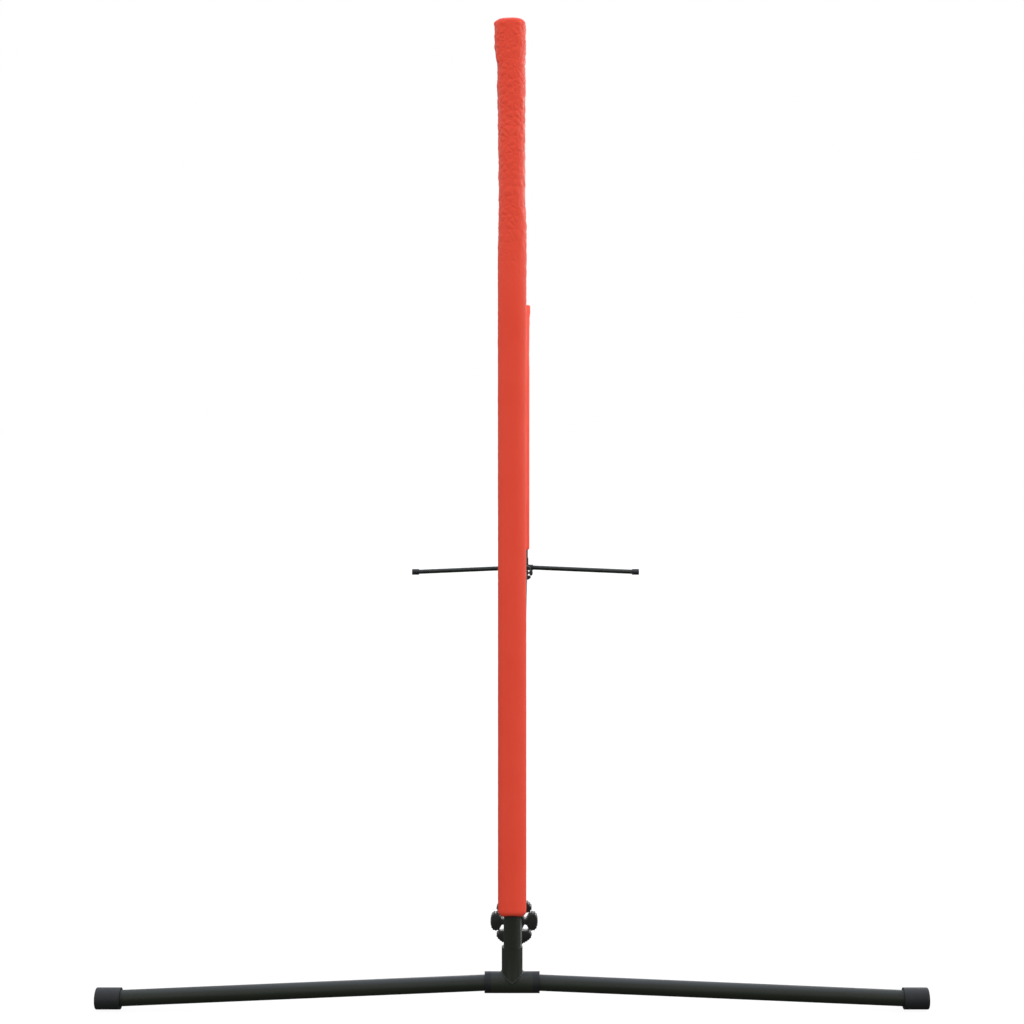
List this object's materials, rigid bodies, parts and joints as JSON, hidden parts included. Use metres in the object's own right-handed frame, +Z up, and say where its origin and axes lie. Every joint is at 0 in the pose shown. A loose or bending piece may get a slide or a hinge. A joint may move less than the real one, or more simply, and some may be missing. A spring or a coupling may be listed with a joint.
{
  "type": "portable sports net",
  "caption": "Portable sports net on tubular steel stands, with cloth end sleeves over the uprights and a clamped crossbar along the ground.",
  "frame": {"origin": "on the ground, midway between the two uprights", "axes": "+Y along the net from the front stand to the rear one, +X along the feet to the right, +Z up"},
  "size_m": [1, 6.008, 1.189],
  "materials": {
    "powder_coated_steel": "satin",
    "bush_plastic": "satin",
    "foot_plastic": "satin",
    "collet_plastic": "matte",
    "nut_plastic": "satin",
    "cap_plastic": "matte",
    "sleeve_cloth": "satin",
    "band_cloth": "satin",
    "net_twine": "matte",
    "head_cord": "matte"
  },
  "bodies": {
    "frame": {"base_front": "powder_coated_steel", "base_rear": "powder_coated_steel", "leg_bush_front_left": "bush_plastic", "leg_bush_front_right": "bush_plastic", "leg_bush_rear_left": "bush_plastic", "leg_bush_rear_right": "bush_plastic", "leg_front_left": "powder_coated_steel", "leg_front_right": "powder_coated_steel", "leg_rear_left": "powder_coated_steel", "leg_rear_right": "powder_coated_steel", "foot_front_left": "foot_plastic", "foot_front_right": "foot_plastic", "foot_rear_left": "foot_plastic", "foot_rear_right": "foot_plastic", "collet_front": "collet_plastic", "collet_rear": "collet_plastic", "crossbar_1": "powder_coated_steel", "crossbar_2": "powder_coated_steel", "crossbar_3": "powder_coated_steel", "crossbar_4": "powder_coated_steel", "crossbar_5": "powder_coated_steel", "crossbar_6": "powder_coated_steel"},
    "uprights": {"pole_lower_front": "powder_coated_steel", "pole_lower_rear": "powder_coated_steel", "pole_upper_front": "powder_coated_steel", "pole_upper_rear": "powder_coated_steel", "pole_cap_front": "cap_plastic", "pole_cap_rear": "cap_plastic"},
    "net": {"sleeve_front": "sleeve_cloth", "sleeve_rear": "sleeve_cloth", "net_mesh": "net_twine", "top_band": "band_cloth", "bottom_band": "band_cloth", "head_cord": "head_cord"},
    "front_nut": {"star_nut_front": "nut_plastic"},
    "rear_nut": {"star_nut_rear": "nut_plastic"}
  },
  "joints": [
    {"name": "front_nut_turn", "type": "hinge", "parent": "frame", "child": "front_nut", "pos_m": [0, -2.715, 0.032], "axis": [0, 1, 0], "continuous": true},
    {"name": "rear_nut_turn", "type": "hinge", "parent": "frame", "child": "rear_nut", "pos_m": [0, 2.715, 0.032], "axis": [0, 1, 0], "continuous": true},
    {"name": "uprights_lift", "type": "slide", "parent": "frame", "child": "uprights", "axis": [0, 0, 1], "range_m": [0, 0.03]},
    {"name": "net_lift", "type": "slide", "parent": "uprights", "child": "net", "axis": [0, 0, 1], "range_m": [0, 1.03]}
  ]
}
